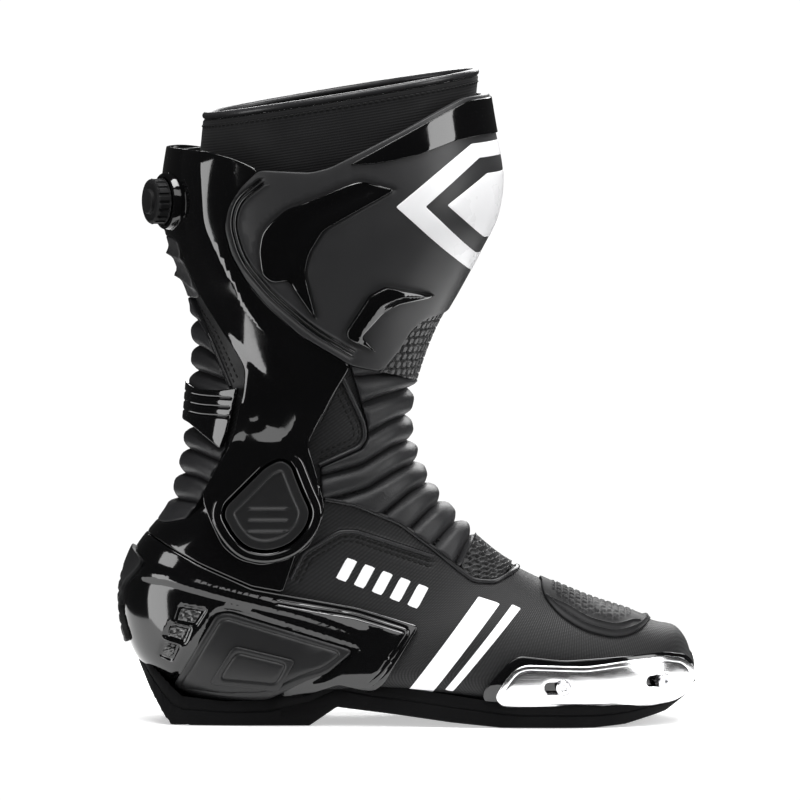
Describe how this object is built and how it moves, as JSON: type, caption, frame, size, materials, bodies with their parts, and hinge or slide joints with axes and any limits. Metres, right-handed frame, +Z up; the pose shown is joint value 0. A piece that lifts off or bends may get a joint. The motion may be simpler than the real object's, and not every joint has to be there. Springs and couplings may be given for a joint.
{
  "type": "motorcycle racing boot",
  "caption": "Tall black motorcycle racing boot for the right foot, with a hinged outer ankle brace, shin plate, heel armour, steel toe slider, calf dial and inner zip.",
  "frame": {"origin": "on the ground, at the middle of the bounding box in X and Y", "axes": "+X towards the toe, +Y towards the inner side of the leg, +Z up; the outer side faces -Y"},
  "size_m": [0.311, 0.1342, 0.3494],
  "materials": {
    "leather": "black full-grain leather, soft satin",
    "microfibre": "black microfibre with a fine woven print",
    "gloss_shell": "polished black thermoplastic polyurethane",
    "satin_shell": "fine-grained satin black polyurethane",
    "moulded_rubber": "moulded black rubber",
    "sole_rubber": "black outsole rubber",
    "steel": "polished stainless steel",
    "lining": "black three-dimensional mesh lining",
    "collar_cloth": "black woven cloth over soft foam",
    "foam": "cloth-topped foam footbed"
  },
  "bodies": {
    "foot": {"outsole": "sole_rubber", "sole_shank": "steel", "footbed": "foam", "vamp": "microfibre", "quarter_outer": "microfibre", "quarter_inner": "microfibre", "instep_hex_panel": "moulded_rubber", "lining_foot": "lining", "heel_cup": "gloss_shell", "heel_yoke": "gloss_shell", "heel_side_panel_outer": "satin_shell", "heel_side_panel_inner": "satin_shell", "heel_panel_badge": "gloss_shell", "heel_vent_top": "gloss_shell", "heel_vent_middle": "gloss_shell", "heel_vent_bottom": "gloss_shell", "heel_bumper": "moulded_rubber", "toe_shift_pad": "moulded_rubber", "toe_slider_base": "gloss_shell", "toe_slider_plate": "steel", "toe_slider_screw_rear": "steel", "toe_slider_screw_front": "steel", "pivot_bolt": "steel", "front_bellows": "leather", "rear_bellows": "leather", "ankle_panel_outer": "leather", "ankle_panel_inner": "leather", "lining_ankle": "lining"},
    "shaft": {"shaft_shell": "leather", "lining_shaft": "lining", "collar": "collar_cloth", "collar_piping": "leather", "ankle_brace": "gloss_shell", "calf_guard_inner": "gloss_shell", "calf_rear_plate": "satin_shell", "achilles_band": "gloss_shell", "pivot_bush": "steel", "pivot_cap": "satin_shell", "shin_plate": "satin_shell", "shin_scoop": "gloss_shell", "shin_chevron": "gloss_shell", "shin_top_strip": "gloss_shell", "shin_hex_panel": "moulded_rubber", "dial_base": "gloss_shell", "zip_tape": "collar_cloth", "zip_teeth": "steel"},
    "dial": {"dial_knob": "moulded_rubber"},
    "zip_slider": {"zip_slider": "steel"},
    "zip_pull": {"zip_pull": "steel"},
    "closure_flap": {"closure_flap": "leather"}
  },
  "joints": [
    {"name": "ankle_flex", "type": "hinge", "parent": "foot", "child": "shaft", "pos_m": [-0.0758, 0.00088, 0.115], "axis": [0, 1, 0], "range_deg": [-12, 20], "stiffness_Nm_per_rad": 10, "springref_deg": -1.43, "deforming": ["front_bellows", "rear_bellows", "ankle_panel_outer", "ankle_panel_inner", "lining_ankle"]},
    {"name": "dial_turn", "type": "hinge", "parent": "shaft", "child": "dial", "pos_m": [-0.1244, -0.01852, 0.279], "axis": [-0.9063, -0.4226, 0], "continuous": true},
    {"name": "zip_run", "type": "slide", "parent": "shaft", "child": "zip_slider", "axis": [-0.1093, -0.0923, -0.9897], "range_m": [0, 0.113]},
    {"name": "zip_pull_swing", "type": "hinge", "parent": "zip_slider", "child": "zip_pull", "pos_m": [-0.02998, 0.0647, 0.29336], "axis": [0.9922, -0.0701, -0.103], "range_deg": [-3, 140]},
    {"name": "flap_open", "type": "hinge", "parent": "shaft", "child": "closure_flap", "pos_m": [-0.0098, 0.06048, 0.313], "axis": [0, 0, -1], "range_deg": [0, 110]}
  ]
}
